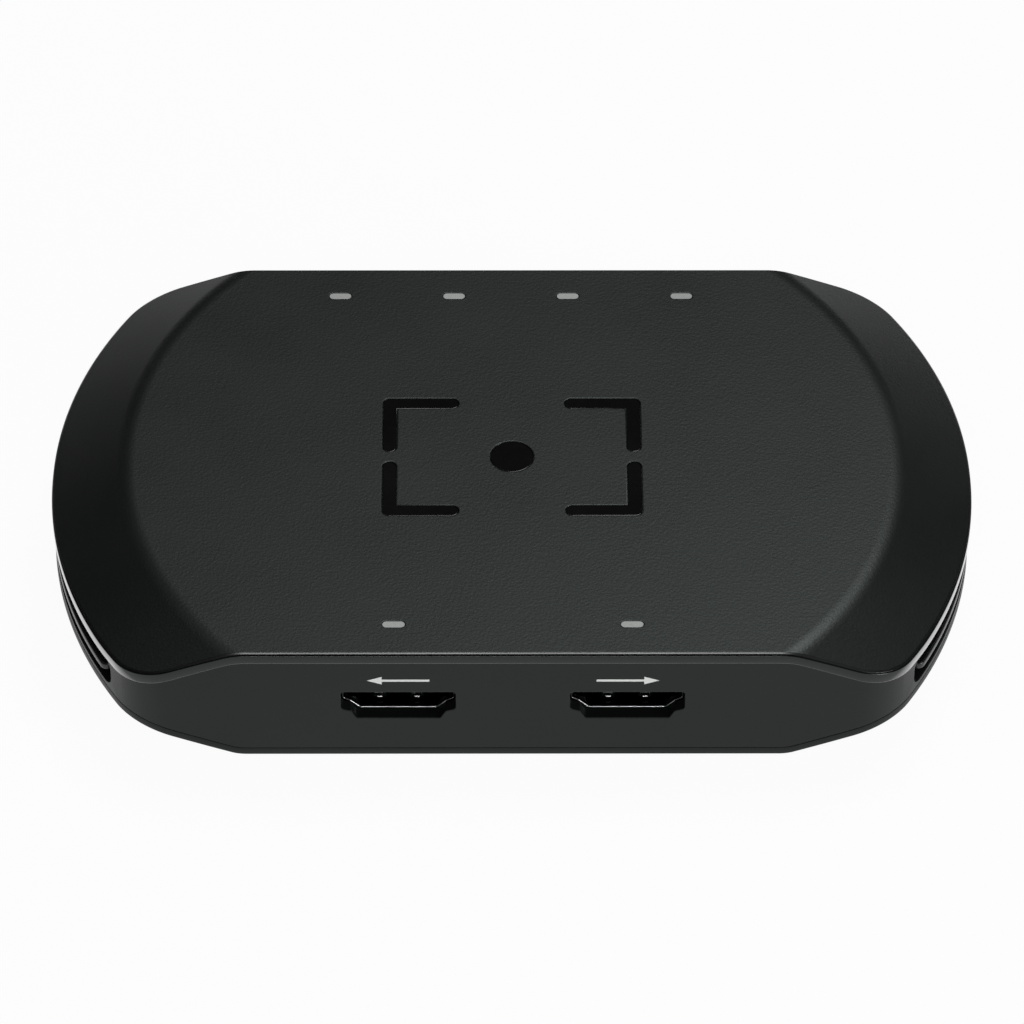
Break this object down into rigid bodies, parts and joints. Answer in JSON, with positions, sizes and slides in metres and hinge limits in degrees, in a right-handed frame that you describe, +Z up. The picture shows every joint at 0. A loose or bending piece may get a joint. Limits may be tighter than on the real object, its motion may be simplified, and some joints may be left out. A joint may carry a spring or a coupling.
{
  "type": "video capture box",
  "caption": "Low desktop video capture box: textured dark top with sloped wings, front video sockets, light windows, side air slots and rear sockets around one board.",
  "frame": {"origin": "middle of the footprint, on the table under the feet", "axes": "+X to the viewer's right along the front, -Y out of the front panel, +Z up"},
  "size_m": [0.1264, 0.0752, 0.0208],
  "materials": {
    "cover_plastic": "fine leather texture, dark grey",
    "frame_plastic": "satin, dark grey",
    "base_plastic": "satin, dark grey",
    "inlay_plastic": "polished black",
    "guide_plastic": "translucent light grey",
    "rubber": "soft black",
    "screw_steel": "black zinc plate",
    "bright_steel": "bright plate",
    "black_shell": "black plated steel",
    "insert_brass": "knurled",
    "contact_gold": "gold plate",
    "spring_bronze": "phosphor bronze",
    "board": "green solder mask",
    "chip": "moulded epoxy",
    "light": "white package",
    "pad": "soft silicone",
    "sink": "bare extrusion",
    "ceramic": "ceramic chip",
    "coil": "ferrite block"
  },
  "bodies": {
    "box": {"top_cover": "cover_plastic", "mid_frame": "frame_plastic", "bottom_cover": "base_plastic", "sign_inlay": "inlay_plastic", "front_light_guide": "guide_plastic", "rear_light_guide": "guide_plastic", "rubber_feet": "rubber", "case_screws": "screw_steel", "threaded_inserts": "insert_brass", "main_board": "board", "board_screws": "bright_steel", "video_out_shell": "black_shell", "video_out_tongue": "chip", "video_out_contacts": "contact_gold", "video_in_shell": "black_shell", "video_in_tongue": "chip", "video_in_contacts": "contact_gold", "jack_left_body": "chip", "jack_centre_body": "chip", "jack_right_body": "chip", "jack_left_collar": "bright_steel", "jack_centre_collar": "bright_steel", "jack_right_collar": "bright_steel", "jack_terminals": "bright_steel", "data_shell": "bright_steel", "data_tongue": "chip", "data_contacts": "contact_gold", "front_lights": "light", "rear_lights": "light", "video_processor": "chip", "thermal_pad": "pad", "heat_sink": "sink", "memory_chips": "chip", "video_receiver": "chip", "video_driver": "chip", "data_bridge": "chip", "audio_chip": "chip", "power_inductors": "coil", "can_capacitors": "sink", "chip_capacitors": "ceramic", "crystals": "bright_steel"},
    "video_out_springs": {"video_out_springs": "bright_steel"},
    "video_in_springs": {"video_in_springs": "bright_steel"},
    "jack_left_spring": {"jack_left_spring": "spring_bronze"},
    "jack_centre_spring": {"jack_centre_spring": "spring_bronze"},
    "jack_right_spring": {"jack_right_spring": "spring_bronze"}
  },
  "joints": [
    {"name": "video_out_spring_flex", "type": "hinge", "parent": "box", "child": "video_out_springs", "pos_m": [-0.0154, -0.02725, 0.00808], "axis": [1, 0, 0], "range_deg": [0, 3], "stiffness_Nm_per_rad": 0.0005},
    {"name": "video_in_spring_flex", "type": "hinge", "parent": "box", "child": "video_in_springs", "pos_m": [0.0154, -0.02725, 0.00808], "axis": [1, 0, 0], "range_deg": [0, 3], "stiffness_Nm_per_rad": 0.0005},
    {"name": "jack_left_spring_flex", "type": "hinge", "parent": "box", "child": "jack_left_spring", "pos_m": [-0.02645, 0.03195, 0.0105], "axis": [0, 0, -1], "range_deg": [0, 4], "stiffness_Nm_per_rad": 0.0005},
    {"name": "jack_centre_spring_flex", "type": "hinge", "parent": "box", "child": "jack_centre_spring", "pos_m": [-0.01055, 0.03195, 0.0105], "axis": [0, 0, -1], "range_deg": [0, 4], "stiffness_Nm_per_rad": 0.0005},
    {"name": "jack_right_spring_flex", "type": "hinge", "parent": "box", "child": "jack_right_spring", "pos_m": [0.00535, 0.03195, 0.0105], "axis": [0, 0, -1], "range_deg": [0, 4], "stiffness_Nm_per_rad": 0.0005}
  ]
}
